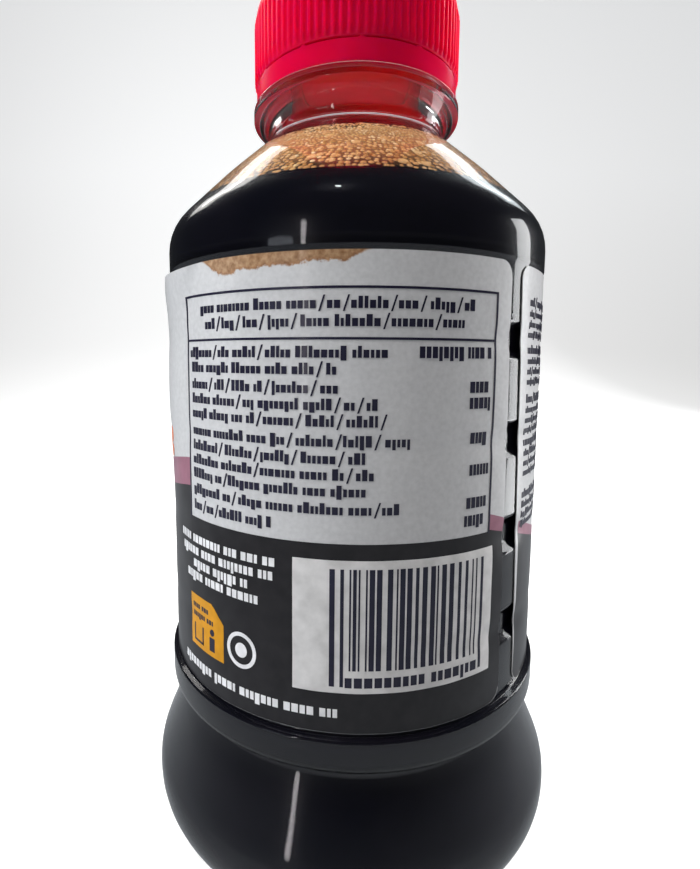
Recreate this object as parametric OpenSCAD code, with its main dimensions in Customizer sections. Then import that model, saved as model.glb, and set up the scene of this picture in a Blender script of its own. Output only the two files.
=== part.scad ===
// Sauce bottle: a clear blow-moulded bottle with a dark sauce, a foam layer,
// a wrap-around label and a red screw cap. The origin is the middle of the base.

/* [Base] */
// How far the base stands out from the label panel
base_step = 4.2; // [2:0.1:6]
// Radius of the heel between the side and the table
heel_r = 7; // [4:0.5:7.5]
// Height at which the base starts to draw in to the waist
base_land_z = 9.5; // [9.5:0.5:14]
// Radius of the rounding above the widest ring
base_round_r = 8; // [4:0.5:9]
// How far the waist between the base and the bead draws in from the panel
waist_depth = 2.2; // [1:0.1:3]
// Height of the waist above the table
waist_z = 24; // [23:0.5:30]
// Distance from the side of the base to the inside of the foot ring
foot_w = 16; // [12:0.5:20]
// Height of the push-up under the base
pushup_h = 7; // [4:0.5:10]

/* [Bead] */
// How far the bead under the label stands out from the panel
bead_step = 1.2; // [0.6:0.1:2]
// Height of the bead
bead_h = 5.4; // [4:0.2:8]
// Rise from the waist to the bead
bead_rise = 2.4; // [2:0.2:4]

/* [Label panel] */
// Diameter of the panel that the label lies on
panel_d = 73.6; // [68:0.2:84]
// Height of the panel
panel_h = 72.8; // [62:0.2:100]
// Number of ring grooves round the panel
groove_count = 4; // [1:1:4]
// Distance from one groove to the next
groove_pitch = 16; // [12:0.5:20]
// Height of one groove
groove_h = 6; // [4:0.5:8]
// Depth of one groove
groove_depth = 1; // [0.4:0.1:1.4]

/* [Shoulder] */
// How far the shoulder band above the label stands out from the panel
shoulder_step = 0.3; // [0.2:0.1:1]
// Height of the shoulder band
shoulder_h = 7.8; // [5:0.2:12]
// Radius between the shoulder band and the cone
shoulder_round_r = 9; // [5:0.5:9]
// Height of the lower, steeper part of the cone
cone_low_h = 10.2; // [8:0.2:14]
// Where the upper, flatter part of the cone starts, as a share of the way from neck to shoulder
cone_mid_share = 0.486; // [0.46:0.002:0.6]
// Height of the upper part of the cone
cone_top_h = 8.7; // [7:0.1:12]

/* [Neck] */
// Diameter of the neck
neck_d = 34.9; // [30:0.1:37]
// Height of the neck between the cone and the support ring
neck_h = 2.1; // [1.5:0.1:4]
// How far the support ring stands out from the neck
ring_reach = 3.05; // [2.5:0.05:4]
// Height of the sloped underside of the support ring
ring_slope_h = 2.6; // [1.5:0.1:4]
// Thickness of the rim of the support ring
ring_h = 2; // [1.4:0.1:3]
// Height of the neck above the support ring
finish_h = 16.9; // [14:0.1:20]
// How far the locking bead for the tamper band stands out
lock_depth = 0.9; // [0.4:0.1:1.2]

/* [Wall] */
// Thickness of the side wall
wall = 0.7; // [0.5:0.1:1]
// Thickness of the wall in the base
base_wall = 1.7; // [1:0.1:2]
// Thickness of the wall in the neck
neck_wall = 1.3; // [1:0.1:1.8]

/* [Contents] */
// Level of the sauce below the top of the cone
fill_drop = 13.8; // [10:0.2:20]
// Height of the foam on the sauce
foam_h = 10; // [2:0.2:10]

/* [Label] */
// Thickness of the label
label_t = 0.15; // [0.1:0.05:0.3]
// Bare margin of the panel above and below the label
label_margin = 0.45; // [0.2:0.05:4]
// Angle from the front to the label's right-hand end
label_end_a = 38.4; // [20:0.2:80]
// Width of the open gap between the label's two ends
label_gap = 3.6; // [1:0.1:12]
// Angle from the front to the crease where the label lifts off
lift_from_a = -50; // [-90:1:-40]
// Angle over which the label is lifted
lift_sweep = 60; // [30:1:90]
// How far the label stands off at the top
lift_h = 1.5; // [0.5:0.1:2.5]

/* [Cap] */
// Clearance between the locking bead and the inside of the cap
cap_ease = 0.45; // [0.2:0.05:1]
// Thickness of the cap's skirt under the ribs
cap_wall = 1.1; // [0.8:0.1:1.4]
// Thickness of the cap's top
cap_top_t = 1.6; // [1:0.1:2.4]
// Radius of the cap's top edge
cap_edge_r = 1.5; // [0.5:0.1:1.5]
// Number of grip ribs
rib_count = 90; // [40:2:120]
// Depth of the grip ribs
rib_depth = 0.4; // [0.2:0.05:0.6]
// Height of the smooth tamper band
band_h = 3.9; // [3:0.1:5]
// Slit between the tamper band and the cap
band_slit = 0.3; // [0.2:0.1:0.6]
// Clearance between the neck's top and the inside of the cap
cap_clear = 0.05; // [0:0.05:0.3]

/* [Hidden] */

round_fn = 180;
arc_step = 20;      // widest angle that one straight piece of an arc spans

panel_r = panel_d / 2;
base_r = panel_r + base_step;
foot_in_r = base_r - foot_w;
waist_r = panel_r - waist_depth;
bead_r = panel_r + bead_step;
shoulder_r = panel_r + shoulder_step;
neck_r = neck_d / 2;
cone_mid_r = neck_r + (shoulder_r - neck_r) * cone_mid_share;
ring_r = neck_r + ring_reach;
lock_r = neck_r + lock_depth;
cap_in_r = lock_r + cap_ease;
cap_core_r = cap_in_r + cap_wall;

waist_fillet = 1.4;
bead_fillet = 1.8;
step_fillet = 0.4;
groove_fillet = 1;
groove_side = 1.2;  // height of a groove's sloped side
cone_fillet = 40;
neck_fillet = 1.2;
lip_fillet = 0.4;
belt_margin = 0.6;  // smooth skirt below and above the ribs
pushup_flat_r = 6;
pushup_fillet = 9;
foot_fillet = 3;

bead_z = waist_z + bead_rise;
panel_z = bead_z + bead_h;
panel_top_z = panel_z + panel_h;
cone_z = panel_top_z + shoulder_h;
cone_mid_z = cone_z + cone_low_h;
neck_z = cone_mid_z + cone_top_h;
ring_z = neck_z + neck_h;
rim_z = ring_z + ring_slope_h;
band_z = rim_z + ring_h;
mouth_z = band_z + finish_h;
cap_z = band_z + band_h + band_slit;
cap_top_z = mouth_z + cap_clear + cap_top_t;

fill_z = neck_z - fill_drop;
foam_z = fill_z + foam_h;

label_z = panel_z + label_margin;
label_h = panel_h - 2 * label_margin;
label_corner_r = 2.5;
label_steps = 90;   // equal strips round the label
label_rows = 6;

// Middle heights of the panel's grooves
groove_zs = [for (i = [0:groove_count - 1])
    panel_z + panel_h / 2 + (i - (groove_count - 1) / 2) * groove_pitch];

// ---- outlines ----

function unit(v) = v / norm(v);
function xz(p) = [p[0], p[1]];

// The arc of radius r that rounds the corner p between a and b
function corner(a, p, b, r) =
    let (
        u = unit(a - p),
        v = unit(b - p),
        half = acos(u * v) / 2,
        c = p + unit(u + v) * r / sin(half),
        s = p + u * r / tan(half) - c,
        e = p + v * r / tan(half) - c,
        from = atan2(s[1], s[0]),
        turn = (atan2(e[1], e[0]) - from + 540) % 360 - 180,
        n = ceil(abs(turn) / arc_step)
    )
    [for (i = [0:n]) c + r * [cos(from + turn * i / n), sin(from + turn * i / n)]];

// A line through corners [radius, height, fillet], with the filleted ones rounded
function rounded(p) = [for (i = [0:len(p) - 1])
    each p[i][2] == 0 ? [xz(p[i])] : corner(xz(p[i - 1]), xz(p[i]), xz(p[i + 1]), p[i][2])];

// The wall's thickness at a height
function wall_at(z) = lookup(z, [
    [waist_z - 2, base_wall], [bead_z + 2, wall],
    [neck_z - 6, wall], [neck_z + 2, neck_wall]]);

// The same line moved inwards by the wall's thickness
function inset(p) = [for (i = [0:len(p) - 1])
    let (
        d = unit(p[min(i + 1, len(p) - 1)] - p[max(i - 1, 0)]),
        t = wall_at(p[i][1])
    )
    [max(0, p[i][0] - d[1] * t), p[i][1] + d[0] * t]];

// Radius at a height on the part of a line above the bead
function radius_at(p, z) = lookup(z, [for (q = p) if (q[1] > bead_z) [q[1], q[0]]]);

function groove(z) = [
    [panel_r, z - groove_h / 2, groove_fillet],
    [panel_r - groove_depth, z - groove_h / 2 + groove_side, groove_fillet],
    [panel_r - groove_depth, z + groove_h / 2 - groove_side, groove_fillet],
    [panel_r, z + groove_h / 2, groove_fillet]];

// Outside of the bottle, from the middle of the push-up up to the support ring's slope
body_line = rounded(concat(
    [
        [0, pushup_h, 0],
        [pushup_flat_r, pushup_h, pushup_fillet],
        [foot_in_r, 0, foot_fillet],
        [base_r, 0, heel_r],
        [base_r, base_land_z, base_round_r],
        [waist_r, waist_z, waist_fillet],
        [bead_r, bead_z, bead_fillet],
        [bead_r, panel_z - step_fillet, step_fillet],
        [panel_r, panel_z, step_fillet]
    ],
    [for (z = groove_zs) each groove(z)],
    [
        [panel_r, panel_top_z - step_fillet, step_fillet],
        [shoulder_r, panel_top_z + step_fillet, step_fillet],
        [shoulder_r, cone_z, shoulder_round_r],
        [cone_mid_r, cone_mid_z, cone_fillet],
        [neck_r, neck_z, neck_fillet],
        [neck_r, ring_z, 0]
    ]));

// Outside of the support ring and of the neck above it
finish_line = rounded([
    [neck_r, ring_z, 0],
    [ring_r, rim_z, lip_fillet],
    [ring_r, band_z, lip_fillet],
    [neck_r, band_z, 0],
    [neck_r, band_z + band_h / 3, 0],
    [lock_r, band_z + band_h * 2 / 3, 0],
    [neck_r, band_z + band_h * 2 / 3 + lock_depth / 2, 0],
    [neck_r, mouth_z, lip_fillet],
    [neck_r - neck_wall, mouth_z, 0]]);

cavity_line = inset(body_line);

// ---- sub-parts ----

// Clear bottle: outside up and over the mouth, then back down the inside
module bottle() {
    color("lightcyan", 0.5)
        rotate_extrude($fn = round_fn)
            polygon(concat(
                body_line, finish_line,
                [for (i = [len(cavity_line) - 1:-1:0]) cavity_line[i]]));
}

// Dark sauce up to its level
module soy_sauce() {
    color("black")
        rotate_extrude($fn = round_fn)
            polygon(concat(
                [for (q = cavity_line) if (q[1] < fill_z) q],
                [[radius_at(cavity_line, fill_z), fill_z], [0, fill_z]]));
}

// Layer of foam between the sauce and the neck
module foam() {
    color("peru")
        rotate_extrude($fn = round_fn)
            polygon(concat(
                [[0, fill_z], [radius_at(cavity_line, fill_z), fill_z]],
                [for (q = cavity_line) if (q[1] > fill_z && q[1] < foam_z) q],
                [[radius_at(cavity_line, foam_z), foam_z], [0, foam_z]]));
}

// Angles of the label's ends and of its lifted stretch, turned from the front (-Y) to the right
label_from_a = label_end_a + label_gap / panel_r * 180 / PI;
label_to_a = label_end_a + 360;
label_corner_a = label_corner_r / panel_r * 180 / PI;
lift_to_a = lift_from_a + 360;

// Angles of the label's columns: close together where its corners are round
label_columns = concat(
    [for (t = [0:22.5:67.5]) label_from_a + label_corner_a * (1 - cos(t))],
    [for (i = [0:label_steps])
        label_from_a + label_corner_a
        + i * (label_to_a - label_from_a - 2 * label_corner_a) / label_steps],
    [for (t = [67.5:-22.5:0]) label_to_a - label_corner_a * (1 - cos(t))]);

// Half a column's bow, added so that the flat strips stay clear of the round panel
label_in_r = panel_r / cos(180 / label_steps);

// How far the label's edge draws in where its end is rounded
function corner_margin(a) =
    let (
        s = min(a - label_from_a, label_to_a - a) / label_corner_a,
        t = max(0, 1 - s)
    )
    label_corner_r * (1 - sqrt(1 - t * t));

// How far the label stands off the panel at an angle and a share v of its height
function lift(a, v) =
    let (u = (lift_to_a - a) / lift_sweep)
    u <= 0 || u >= 1 ? 0 : lift_h * sin(180 * u) * pow(v, 1.5);

// A point of the label, on its inner side (layer 0) or its outer side (layer 1)
function label_point(a, v, layer) =
    let (
        r = label_in_r + lift(a, v) + layer * label_t,
        m = corner_margin(a)
    )
    [r * sin(a), -r * cos(a), label_z + m + v * (label_h - 2 * m)];

// Wrap-around label with a gap at the right and a lifted stretch at the left
module label() {
    last = len(label_columns) - 1;
    rows = label_rows;
    function index(i, j, layer) = (layer * (last + 1) + i) * (rows + 1) + j;
    points = [for (layer = [0:1], a = label_columns, j = [0:rows])
        label_point(a, j / rows, layer)];
    outer = [for (i = [0:last - 1], j = [0:rows - 1])
        [index(i, j, 1), index(i, j + 1, 1), index(i + 1, j + 1, 1), index(i + 1, j, 1)]];
    inner = [for (i = [0:last - 1], j = [0:rows - 1])
        [index(i, j, 0), index(i + 1, j, 0), index(i + 1, j + 1, 0), index(i, j + 1, 0)]];
    low_rim = [for (i = [0:last - 1])
        [index(i, 0, 0), index(i, 0, 1), index(i + 1, 0, 1), index(i + 1, 0, 0)]];
    high_rim = [for (i = [0:last - 1])
        [index(i, rows, 0), index(i + 1, rows, 0), index(i + 1, rows, 1), index(i, rows, 1)]];
    first_end = [for (j = [0:rows - 1])
        [index(0, j, 0), index(0, j + 1, 0), index(0, j + 1, 1), index(0, j, 1)]];
    last_end = [for (j = [0:rows - 1])
        [index(last, j, 0), index(last, j, 1), index(last, j + 1, 1), index(last, j + 1, 0)]];
    color("gainsboro")
        polyhedron(
            points = points,
            faces = concat(outer, inner, low_rim, high_rim, first_end, last_end),
            convexity = 8);
}

// Smooth band that stays on the neck under the cap
module tamper_band() {
    color("firebrick")
        rotate_extrude($fn = round_fn)
            polygon(concat(
                [[cap_in_r, band_z]],
                rounded([
                    [cap_core_r - lip_fillet * 2, band_z, 0],
                    [cap_core_r, band_z + lip_fillet, lip_fillet / 2],
                    [cap_core_r, band_z + band_h, 0]]),
                [[cap_in_r, band_z + band_h]]));
}

// Outline of the grip belt, with a rib and a groove at each step round it
function rib_outline() =
    let (pitch = 360 / rib_count)
    [for (i = [0:rib_count - 1], k = [[0, 0], [0.25, 1], [0.6, 1], [0.85, 0]])
        let (
            a = (i + k[0]) * pitch,
            r = cap_core_r + k[1] * rib_depth
        )
        r * [cos(a), sin(a)]];

// Screw cap: a smooth crown over a ribbed belt, hollow below
module cap() {
    belt_z = cap_z + belt_margin;
    belt_top_z = cap_top_z - cap_edge_r - belt_margin;
    color("crimson")
        difference() {
            union() {
                rotate_extrude($fn = round_fn)
                    polygon(concat(
                        [[0, cap_z], [cap_core_r, cap_z]],
                        rounded([
                            [cap_core_r, belt_z, 0],
                            [cap_core_r, cap_top_z, cap_edge_r],
                            [0, cap_top_z, 0]])));
                translate([0, 0, belt_z])
                    linear_extrude(belt_top_z - belt_z)
                        polygon(rib_outline());
            }
            translate([0, 0, cap_z - 1])
                cylinder(r = cap_in_r, h = mouth_z + cap_clear - cap_z + 1, $fn = round_fn);
        }
}

bottle();
soy_sauce();
foam();
label();
tamper_band();
cap();
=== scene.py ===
# %% [markdown]
# # A clear bottle of dark sauce
# The real thing is a blown plastic bottle, clear and thin, filled with a near-black sauce. Foam stands
# on the sauce under the neck, a printed label wraps the body, and a red screw cap shows through the
# clear neck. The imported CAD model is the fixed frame: it gives every height and width that follows.

# %% Load the frame
import math

import bmesh
import bpy
import numpy as np
from mathutils import Euler, Matrix, Vector


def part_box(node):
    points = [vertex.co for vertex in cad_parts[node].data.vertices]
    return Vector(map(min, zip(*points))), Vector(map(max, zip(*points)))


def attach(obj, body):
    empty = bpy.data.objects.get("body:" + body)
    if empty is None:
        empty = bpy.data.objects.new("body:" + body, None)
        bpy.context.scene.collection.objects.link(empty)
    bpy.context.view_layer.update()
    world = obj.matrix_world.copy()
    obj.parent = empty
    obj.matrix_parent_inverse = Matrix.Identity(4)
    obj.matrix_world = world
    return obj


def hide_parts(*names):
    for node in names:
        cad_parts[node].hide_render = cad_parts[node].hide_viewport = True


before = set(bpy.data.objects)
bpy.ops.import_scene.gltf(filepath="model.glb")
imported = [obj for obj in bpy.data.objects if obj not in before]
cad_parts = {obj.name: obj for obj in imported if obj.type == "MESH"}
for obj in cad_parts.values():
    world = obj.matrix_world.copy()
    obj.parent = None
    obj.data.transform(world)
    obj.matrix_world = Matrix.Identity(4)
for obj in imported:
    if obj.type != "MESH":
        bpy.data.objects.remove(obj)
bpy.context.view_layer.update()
MM = 0.001
rng = np.random.default_rng(7)


def low(node):
    """Lowest height of a CAD node, in millimetres."""
    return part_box(node)[0].z / MM


def high(node):
    """Greatest height of a CAD node, in millimetres."""
    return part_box(node)[1].z / MM


def radius(node):
    """Greatest radius of a round CAD node, in millimetres."""
    return round(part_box(node)[1].x / MM, 2)


def add_object(name, data):
    """Puts a new object that holds this data into the scene."""
    made = bpy.data.objects.new(name, data)
    bpy.context.scene.collection.objects.link(made)
    return made


print("bottle", radius("bottle") * 2, "mm wide,", round(high("cap"), 2), "mm tall")

# %% [markdown]
# ## The camera
# It stands close in front, at the height of the label's upper half, and looks slightly down. A close
# camera with a wide lens is why the shoulder and the neck seem to lean away.

# %% Camera
CAMERA_AT = Vector((-5.69, -107.22, 88.84)) * MM
CAMERA_PITCH = math.radians(5.66)
CAMERA_ROLL = math.radians(0.34)

camera = add_object("camera", bpy.data.cameras.new("camera"))
camera.data.lens = 20.55
camera.data.sensor_width = 36
camera.data.shift_x = 0.028
camera.data.shift_y = -0.029
camera.data.clip_start = 0.005
camera.matrix_world = (
    Matrix.Translation(CAMERA_AT)
    @ Euler((math.pi / 2 - CAMERA_PITCH, 0, 0)).to_matrix().to_4x4()
    @ Matrix.Rotation(CAMERA_ROLL, 4, "Z"))
bpy.context.scene.camera = camera
print("camera at", tuple(round(c, 4) for c in CAMERA_AT))

# %% [markdown]
# ## Sizes
# A few steps and heights carry the whole outline. The frame gives the outer ones, and the rest are the
# same steps that the CAD source names.

# %% Sizes of the bottle, in millimetres
base_r = radius("bottle")
panel_r = base_r - 4.2
waist_r = panel_r - 2.2
bead_r = panel_r + 1.2
shoulder_r = panel_r + 0.3
cap_r = radius("tamper_band")
CAP_WALL = 1.1
CAP_PLAY = 0.45
LOCK_BEAD = 0.9
SUPPORT_RING = 3.05
cap_in_r = cap_r - CAP_WALL
neck_r = cap_in_r - CAP_PLAY - LOCK_BEAD
lock_r = neck_r + LOCK_BEAD
ring_r = neck_r + SUPPORT_RING

LABEL_MARGIN = 0.45
panel_z = low("label") - LABEL_MARGIN
panel_top_z = high("label") + LABEL_MARGIN
bead_z = panel_z - 5.4
waist_z = bead_z - 2.4
cone_z = panel_top_z + 7.8
cone_mid_z = cone_z + 10.2
cone_mid_r = neck_r + (shoulder_r - neck_r) * 0.486
neck_z = cone_mid_z + 8.7
ring_z = neck_z + 2.1
rim_z = ring_z + 2.6
band_z = low("tamper_band")
mouth_z = high("bottle")
fill_z = low("foam")
foam_z = high("foam")

GROOVE_H = 6
GROOVE_SIDE = 1.2
GROOVE_DEPTH = 1
groove_zs = (panel_z + panel_top_z) / 2 + 16 * (np.arange(4) - 1.5)
print("grooves at", np.round(groove_zs, 1), "level", round(fill_z, 1), "foam to", round(foam_z, 1))

# %% [markdown]
# ## Outlines
# A round bottle is one outline carried round an axis. The outline is a list of corners, and each corner
# has the radius that a mould maker would give it. An arc that touches both sides replaces the corner, so
# that highlights run over it without a break.

# %% Rounded outlines
ARC_STEP = math.radians(9)


def unit(v):
    return v / np.linalg.norm(v)


def corner_arc(before, at, after, fillet):
    """The arc of radius fillet that touches both sides of a corner: centre + fillet (cos t, sin t)."""
    u = unit(before - at)
    v = unit(after - at)
    half = math.acos(u @ v) / 2
    centre = at + unit(u + v) * fillet / math.sin(half)
    start = at + u * fillet / math.tan(half) - centre
    end = at + v * fillet / math.tan(half) - centre
    first = math.atan2(start[1], start[0])
    turn = (math.atan2(end[1], end[0]) - first + 3 * math.pi) % (2 * math.pi) - math.pi
    t = first + turn * np.linspace(0, 1, math.ceil(abs(turn) / ARC_STEP) + 1)
    return centre + fillet * np.stack([np.cos(t), np.sin(t)], 1)


def rounded(corners):
    """A line through corners [radius, height, fillet], with the filleted ones rounded."""
    at = np.array([c[:2] for c in corners], float)
    return np.concatenate([
        corner_arc(at[i - 1], at[i], at[i + 1], c[2]) if c[2] else at[i:i + 1]
        for i, c in enumerate(corners)])


def refined(line, longest):
    """The same line with no step longer than the given length, so that smooth shading stays local."""
    counts = np.ceil(np.linalg.norm(np.diff(line, axis=0), axis=1) / longest).astype(int)
    steps = [a + (b - a) * np.arange(max(n, 1))[:, None] / max(n, 1)
             for a, b, n in zip(line[:-1], line[1:], counts)]
    return np.concatenate(steps + [line[-1:]])


# %% Outline of the bottle's outside
def groove(z):
    """Corners of one ring groove of the label panel."""
    h = GROOVE_H / 2
    deep = panel_r - GROOVE_DEPTH
    return [[panel_r, z - h, 1], [deep, z - h + GROOVE_SIDE, 1],
            [deep, z + h - GROOVE_SIDE, 1], [panel_r, z + h, 1]]


body_line = rounded(
    [[0, 7, 0], [6, 7, 9], [base_r - 16, 0, 3], [base_r, 0, 7], [base_r, 9.5, 8],
     [waist_r, waist_z, 1.4], [bead_r, bead_z, 1.8], [bead_r, panel_z - 0.4, 0.4],
     [panel_r, panel_z, 0.4]]
    + [corner for z in groove_zs for corner in groove(z)]
    + [[panel_r, panel_top_z - 0.4, 0.4], [shoulder_r, panel_top_z + 0.4, 0.4],
       [shoulder_r, cone_z, 9], [cone_mid_r, cone_mid_z, 40], [neck_r, neck_z, 1.2],
       [neck_r, ring_z, 0]])
finish_line = rounded(
    [[neck_r, ring_z, 0], [ring_r, rim_z, 0.4], [ring_r, band_z, 0.4], [neck_r, band_z, 0],
     [neck_r, band_z + 1.3, 0], [lock_r, band_z + 2.6, 0], [neck_r, band_z + 3.05, 0],
     [neck_r, mouth_z, 0.4], [neck_r - 1.3, mouth_z, 0]])[1:]
print("outside outline:", len(body_line) + len(finish_line), "points")

# %% [markdown]
# The wall is thick in the base, where the plastic hardly stretches, and thin on the sides. The inside
# outline is the outside one moved inwards by the wall's thickness at that height.

# %% Outline of the cavity
WALL_Z = [waist_z - 2, bead_z + 2, neck_z - 6, neck_z + 2]
WALL_T = [1.7, 0.7, 0.7, 1.3]


def moved_in(line, thickness):
    """Each point moved by thickness square to the line's own direction there, towards the inside."""
    along = np.empty_like(line)
    along[1:-1] = line[2:] - line[:-2]
    along[0] = line[1] - line[0]
    along[-1] = line[-1] - line[-2]
    along /= np.linalg.norm(along, axis=1)[:, None]
    moved = line + np.stack([-along[:, 1], along[:, 0]], 1) * thickness[:, None]
    moved[:, 0] = np.maximum(moved[:, 0], 0)
    return moved


body_line = refined(body_line, 2.4)
cavity_line = moved_in(body_line, np.interp(body_line[:, 1], WALL_Z, WALL_T))
print("cavity from", np.round(cavity_line[0], 2), "to", np.round(cavity_line[-1], 2))

# %% [markdown]
# ## From numbers to meshes
# Two helpers do the work for every round piece. One puts arrays into a mesh, in metres. The other turns
# an outline round the axis, and closes it at a pole with a fan of triangles.

# %% Mesh helpers
def add_piece(name, points, faces, slot, replaces=(), sharp=None):
    """Makes a piece from points in millimetres and rides it on the body. The slot is not used. Edges that
    turn by more than sharp degrees are not smoothed, and points in the same place are merged."""
    mesh = bpy.data.meshes.new(name)
    mesh.from_pydata(np.asarray(points, float) * MM, [], faces)
    if sharp:
        merged = bmesh.new()
        merged.from_mesh(mesh)
        bmesh.ops.remove_doubles(merged, verts=merged.verts, dist=1e-7)
        merged.to_mesh(mesh)
        merged.free()
    mesh.validate()
    mesh.polygons.foreach_set("use_smooth", np.ones(len(mesh.polygons), bool))
    if sharp:
        mesh.set_sharp_from_angle(angle=math.radians(sharp))
    piece = add_object(name, mesh)
    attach(piece, "root")
    if replaces:
        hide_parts(*replaces)
    triangles = sum(len(p.vertices) - 2 for p in mesh.polygons)
    print(f"{name}: {len(mesh.vertices)} points, {triangles} triangles")
    return piece


def lathe(line, angles, closed=False, shape=None):
    """Turns an outline of [radius, height] round z: (r cos a, r sin a, z), with r shaped by shape(r, z, a).
    A point on the axis becomes one pole. A closed outline joins its last point to its first."""
    r = np.repeat(line[:, :1], len(angles), 1)
    z = np.repeat(line[:, 1:], len(angles), 1)
    a = np.repeat(angles[None, :], len(line), 0)
    if shape:
        r, z = shape(r, z, a)
    grid = np.stack([r * np.cos(a), r * np.sin(a), z], -1)
    at_pole = (line[:, 0] < 1e-6) & (not closed)
    sizes = np.where(at_pole, 1, len(angles))
    starts = np.concatenate([[0], np.cumsum(sizes)])
    points = np.concatenate([row[:1] if pole else row for row, pole in zip(grid, at_pole)])
    j = np.arange(len(angles))
    k = (j + 1) % len(angles)
    faces = []
    for i in range(len(line) - (0 if closed else 1)):
        n = (i + 1) % len(line)
        if at_pole[i]:
            ring = np.stack([np.full_like(j, starts[i]), starts[n] + k, starts[n] + j], 1)
        elif at_pole[n]:
            ring = np.stack([starts[i] + j, starts[i] + k, np.full_like(j, starts[n])], 1)
        else:
            ring = np.stack([starts[i] + j, starts[i] + k, starts[n] + k, starts[n] + j], 1)
        faces += ring.tolist()
    return points, faces


def even_angles(count):
    return np.arange(count) * 2 * math.pi / count


# %% [markdown]
# ## Materials from shared effects
# Moulded plastic is never quite even. One node group gives fine unevenness to every finish: a slow
# wave, which a mould and shrinkage leave, and a fine grain. It puts out a height for a Bump node and a
# value for roughness.

# %% Node helpers
def add_node(tree, kind, **settings):
    """A node of this kind, with its attributes and its inputs (given as inputs={name: value}) set."""
    node = tree.nodes.new(kind)
    for name, value in settings.pop("inputs", {}).items():
        node.inputs[name].default_value = value
    for name, value in settings.items():
        setattr(node, name, value)
    return node


def new_group(name, inputs, outputs):
    """A shader node group with float inputs {name: value} and outputs [(name, socket type)]."""
    group = bpy.data.node_groups.new(name, "ShaderNodeTree")
    for title, value in inputs.items():
        socket = group.interface.new_socket(name=title, in_out="INPUT", socket_type="NodeSocketFloat")
        socket.default_value = value
    for title, kind in outputs:
        group.interface.new_socket(name=title, in_out="OUTPUT", socket_type=kind)
    return group, group.nodes.new("NodeGroupInput"), group.nodes.new("NodeGroupOutput")


def math_node(tree, operation, a, b=None, c=None, clamp=False):
    """A Math node. Each operand is a number or an output socket."""
    node = add_node(tree, "ShaderNodeMath", operation=operation, use_clamp=clamp)
    for i, value in enumerate([a, b, c]):
        if value is None:
            continue
        if isinstance(value, (int, float)):
            node.inputs[i].default_value = value
        else:
            tree.links.new(value, node.inputs[i])
    return node.outputs[0]


def noise_value(tree, **inputs):
    """The value of a noise texture that stays fixed to the object."""
    noise = add_node(tree, "ShaderNodeTexNoise", inputs=inputs)
    at = add_node(tree, "ShaderNodeTexCoord")
    tree.links.new(at.outputs["Object"], noise.inputs["Vector"])
    return noise.outputs["Fac"]


def build_unevenness():
    """height = wave + grain, and roughness = base + variation * (noise - 0.5)."""
    group, given, out = new_group(
        "unevenness",
        {"Wave per metre": 60, "Grain per metre": 2500, "Grain share": 0.1,
         "Roughness": 0.3, "Roughness spread": 0.1},
        [("Height", "NodeSocketFloat"), ("Roughness", "NodeSocketFloat")])
    at = add_node(group, "ShaderNodeTexCoord")
    wave = add_node(group, "ShaderNodeTexNoise", inputs={"Detail": 1})
    grain = add_node(group, "ShaderNodeTexNoise", inputs={"Detail": 3})
    for noise, rate in ((wave, "Wave per metre"), (grain, "Grain per metre")):
        group.links.new(at.outputs["Object"], noise.inputs["Vector"])
        group.links.new(given.outputs[rate], noise.inputs["Scale"])
    fine = math_node(group, "MULTIPLY", grain.outputs["Fac"], given.outputs["Grain share"])
    group.links.new(math_node(group, "ADD", wave.outputs["Fac"], fine), out.inputs["Height"])
    swing = math_node(group, "SUBTRACT", wave.outputs["Fac"], 0.5)
    swing = math_node(group, "MULTIPLY", swing, given.outputs["Roughness spread"])
    rough = math_node(group, "ADD", swing, given.outputs["Roughness"], clamp=True)
    group.links.new(rough, out.inputs["Roughness"])
    return group


unevenness = build_unevenness()


def new_material(name, roughness, spread=0.05, wave=60, grain=2500, grain_share=0.1, bump=0.1,
                 depth=0.2, constants=None):
    """A Principled material with the shared unevenness in its roughness and its bump."""
    material = bpy.data.materials.new(name)
    material.use_nodes = True
    tree = material.node_tree
    shader = tree.nodes["Principled BSDF"]
    for socket, value in (constants or {}).items():
        shader.inputs[socket].default_value = value
    effect = add_node(tree, "ShaderNodeGroup", node_tree=unevenness)
    for title, value in (("Wave per metre", wave), ("Grain per metre", grain),
                         ("Grain share", grain_share), ("Roughness", roughness),
                         ("Roughness spread", spread)):
        effect.inputs[title].default_value = value
    bumps = add_node(tree, "ShaderNodeBump", inputs={"Strength": bump, "Distance": depth * MM})
    tree.links.new(effect.outputs["Height"], bumps.inputs["Height"])
    tree.links.new(bumps.outputs["Normal"], shader.inputs["Normal"])
    tree.links.new(effect.outputs["Roughness"], shader.inputs["Roughness"])
    return material, tree, shader


def colour_ramp(tree, value, stops, interpolation="LINEAR"):
    """A ColorRamp node fed by a value, with stops [(place, linear colour)]."""
    ramp = add_node(tree, "ShaderNodeValToRGB")
    ramp.color_ramp.interpolation = interpolation
    while len(ramp.color_ramp.elements) < len(stops):
        ramp.color_ramp.elements.new(0.5)
    for element, (place, colour) in zip(ramp.color_ramp.elements, stops):
        element.position = place
        element.color = (*colour, 1)
    tree.links.new(value, ramp.inputs["Fac"])
    return ramp.outputs["Color"]


def put_on(piece, material):
    piece.data.materials.clear()
    piece.data.materials.append(material)


# %% [markdown]
# ## The clear bottle
# The bottle is a closed shell, with its outside and its inside, so that light bends through a wall of
# true thickness. Blow moulding leaves two fine parting lines up its sides, where the mould halves met.

# %% Bottle
SEAM_H = 0.07
SEAM_W = 0.22
seam_arcs = np.array([-0.45, -0.25, -0.12, 0, 0.12, 0.25, 0.45]) / panel_r
bottle_angles = np.unique(np.round(np.concatenate(
    [even_angles(184), seam_arcs % (2 * math.pi), seam_arcs + math.pi]), 6))
outside_rows = len(body_line) + len(finish_line)


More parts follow.
